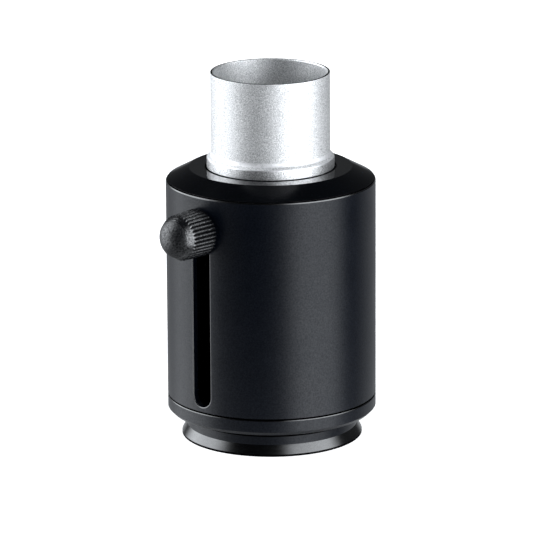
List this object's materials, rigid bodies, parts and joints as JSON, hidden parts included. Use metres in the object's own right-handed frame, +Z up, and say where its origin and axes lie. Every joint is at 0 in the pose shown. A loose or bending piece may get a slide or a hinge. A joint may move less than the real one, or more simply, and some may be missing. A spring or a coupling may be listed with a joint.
{
  "type": "adjustable collimator tube",
  "caption": "Optical tube with a sliding push-fit nose locked by a knurled knob in a long slot, a collimating lens and a round dovetail foot.",
  "frame": {"origin": "Bottom centre of the whole object's box, knob included, on the plane of the foot's underside. The optical axis is parallel to +Z at x = 0, y = +6.366 mm.", "axes": "+Z up along the optical axis from the dovetail foot to the silver nose, -Y towards the clamp knob, +X to the right of someone facing the knob"},
  "size_m": [0.056, 0.0688, 0.0994],
  "materials": {
    "black_anodised": "satin black anodised, fine grain",
    "silver_aluminium": "bead blasted, clear anodised",
    "dull_black": "dull black anti-reflection",
    "machined_steel": "turned",
    "machined_brass": "turned",
    "black_acetal": "turned acetal, black",
    "glide_ptfe": "PTFE band",
    "natural_nylon": "moulded nylon",
    "moulded_black": "moulded, finely pebbled",
    "soft_rubber": "matte",
    "lens_glass": "polished, thin anti-reflection coat"
  },
  "bodies": {
    "housing": {"dovetail_flange": "black_anodised", "base_ring": "black_anodised", "barrel": "black_anodised", "top_cap": "black_anodised", "cap_guide_bush": "black_acetal", "lens_cell": "dull_black", "lens_cushion_ring": "soft_rubber", "crown_lens": "lens_glass", "flint_lens": "lens_glass", "lens_retaining_ring": "dull_black"},
    "sliding_tube": {"nose_tube": "silver_aluminium", "tube_baffle": "dull_black", "slide_carriage": "black_anodised", "carriage_lock_ring": "machined_steel", "glide_band_upper": "glide_ptfe", "glide_band_lower": "glide_ptfe", "stud_insert": "machined_brass"},
    "saddle_washer": {"clamp_washer": "natural_nylon"},
    "knob": {"clamp_knob": "moulded_black", "clamp_stud": "machined_steel"}
  },
  "joints": [
    {"name": "tube_slide", "type": "slide", "parent": "housing", "child": "sliding_tube", "axis": [0, 0, 1], "range_m": [-0.045, 0]},
    {"name": "clamp_feed", "type": "slide", "parent": "sliding_tube", "child": "saddle_washer", "axis": [0, -1, 0], "range_m": [0, 0.0014]},
    {"name": "clamp_turn", "type": "hinge", "parent": "saddle_washer", "child": "knob", "pos_m": [0, 0.00637, 0.061], "axis": [0, -1, 0], "range_deg": [0, 720]}
  ],
  "couplings": [
    {"joint": "clamp_turn", "follows": "clamp_feed", "rad_per_m": 8976}
  ]
}
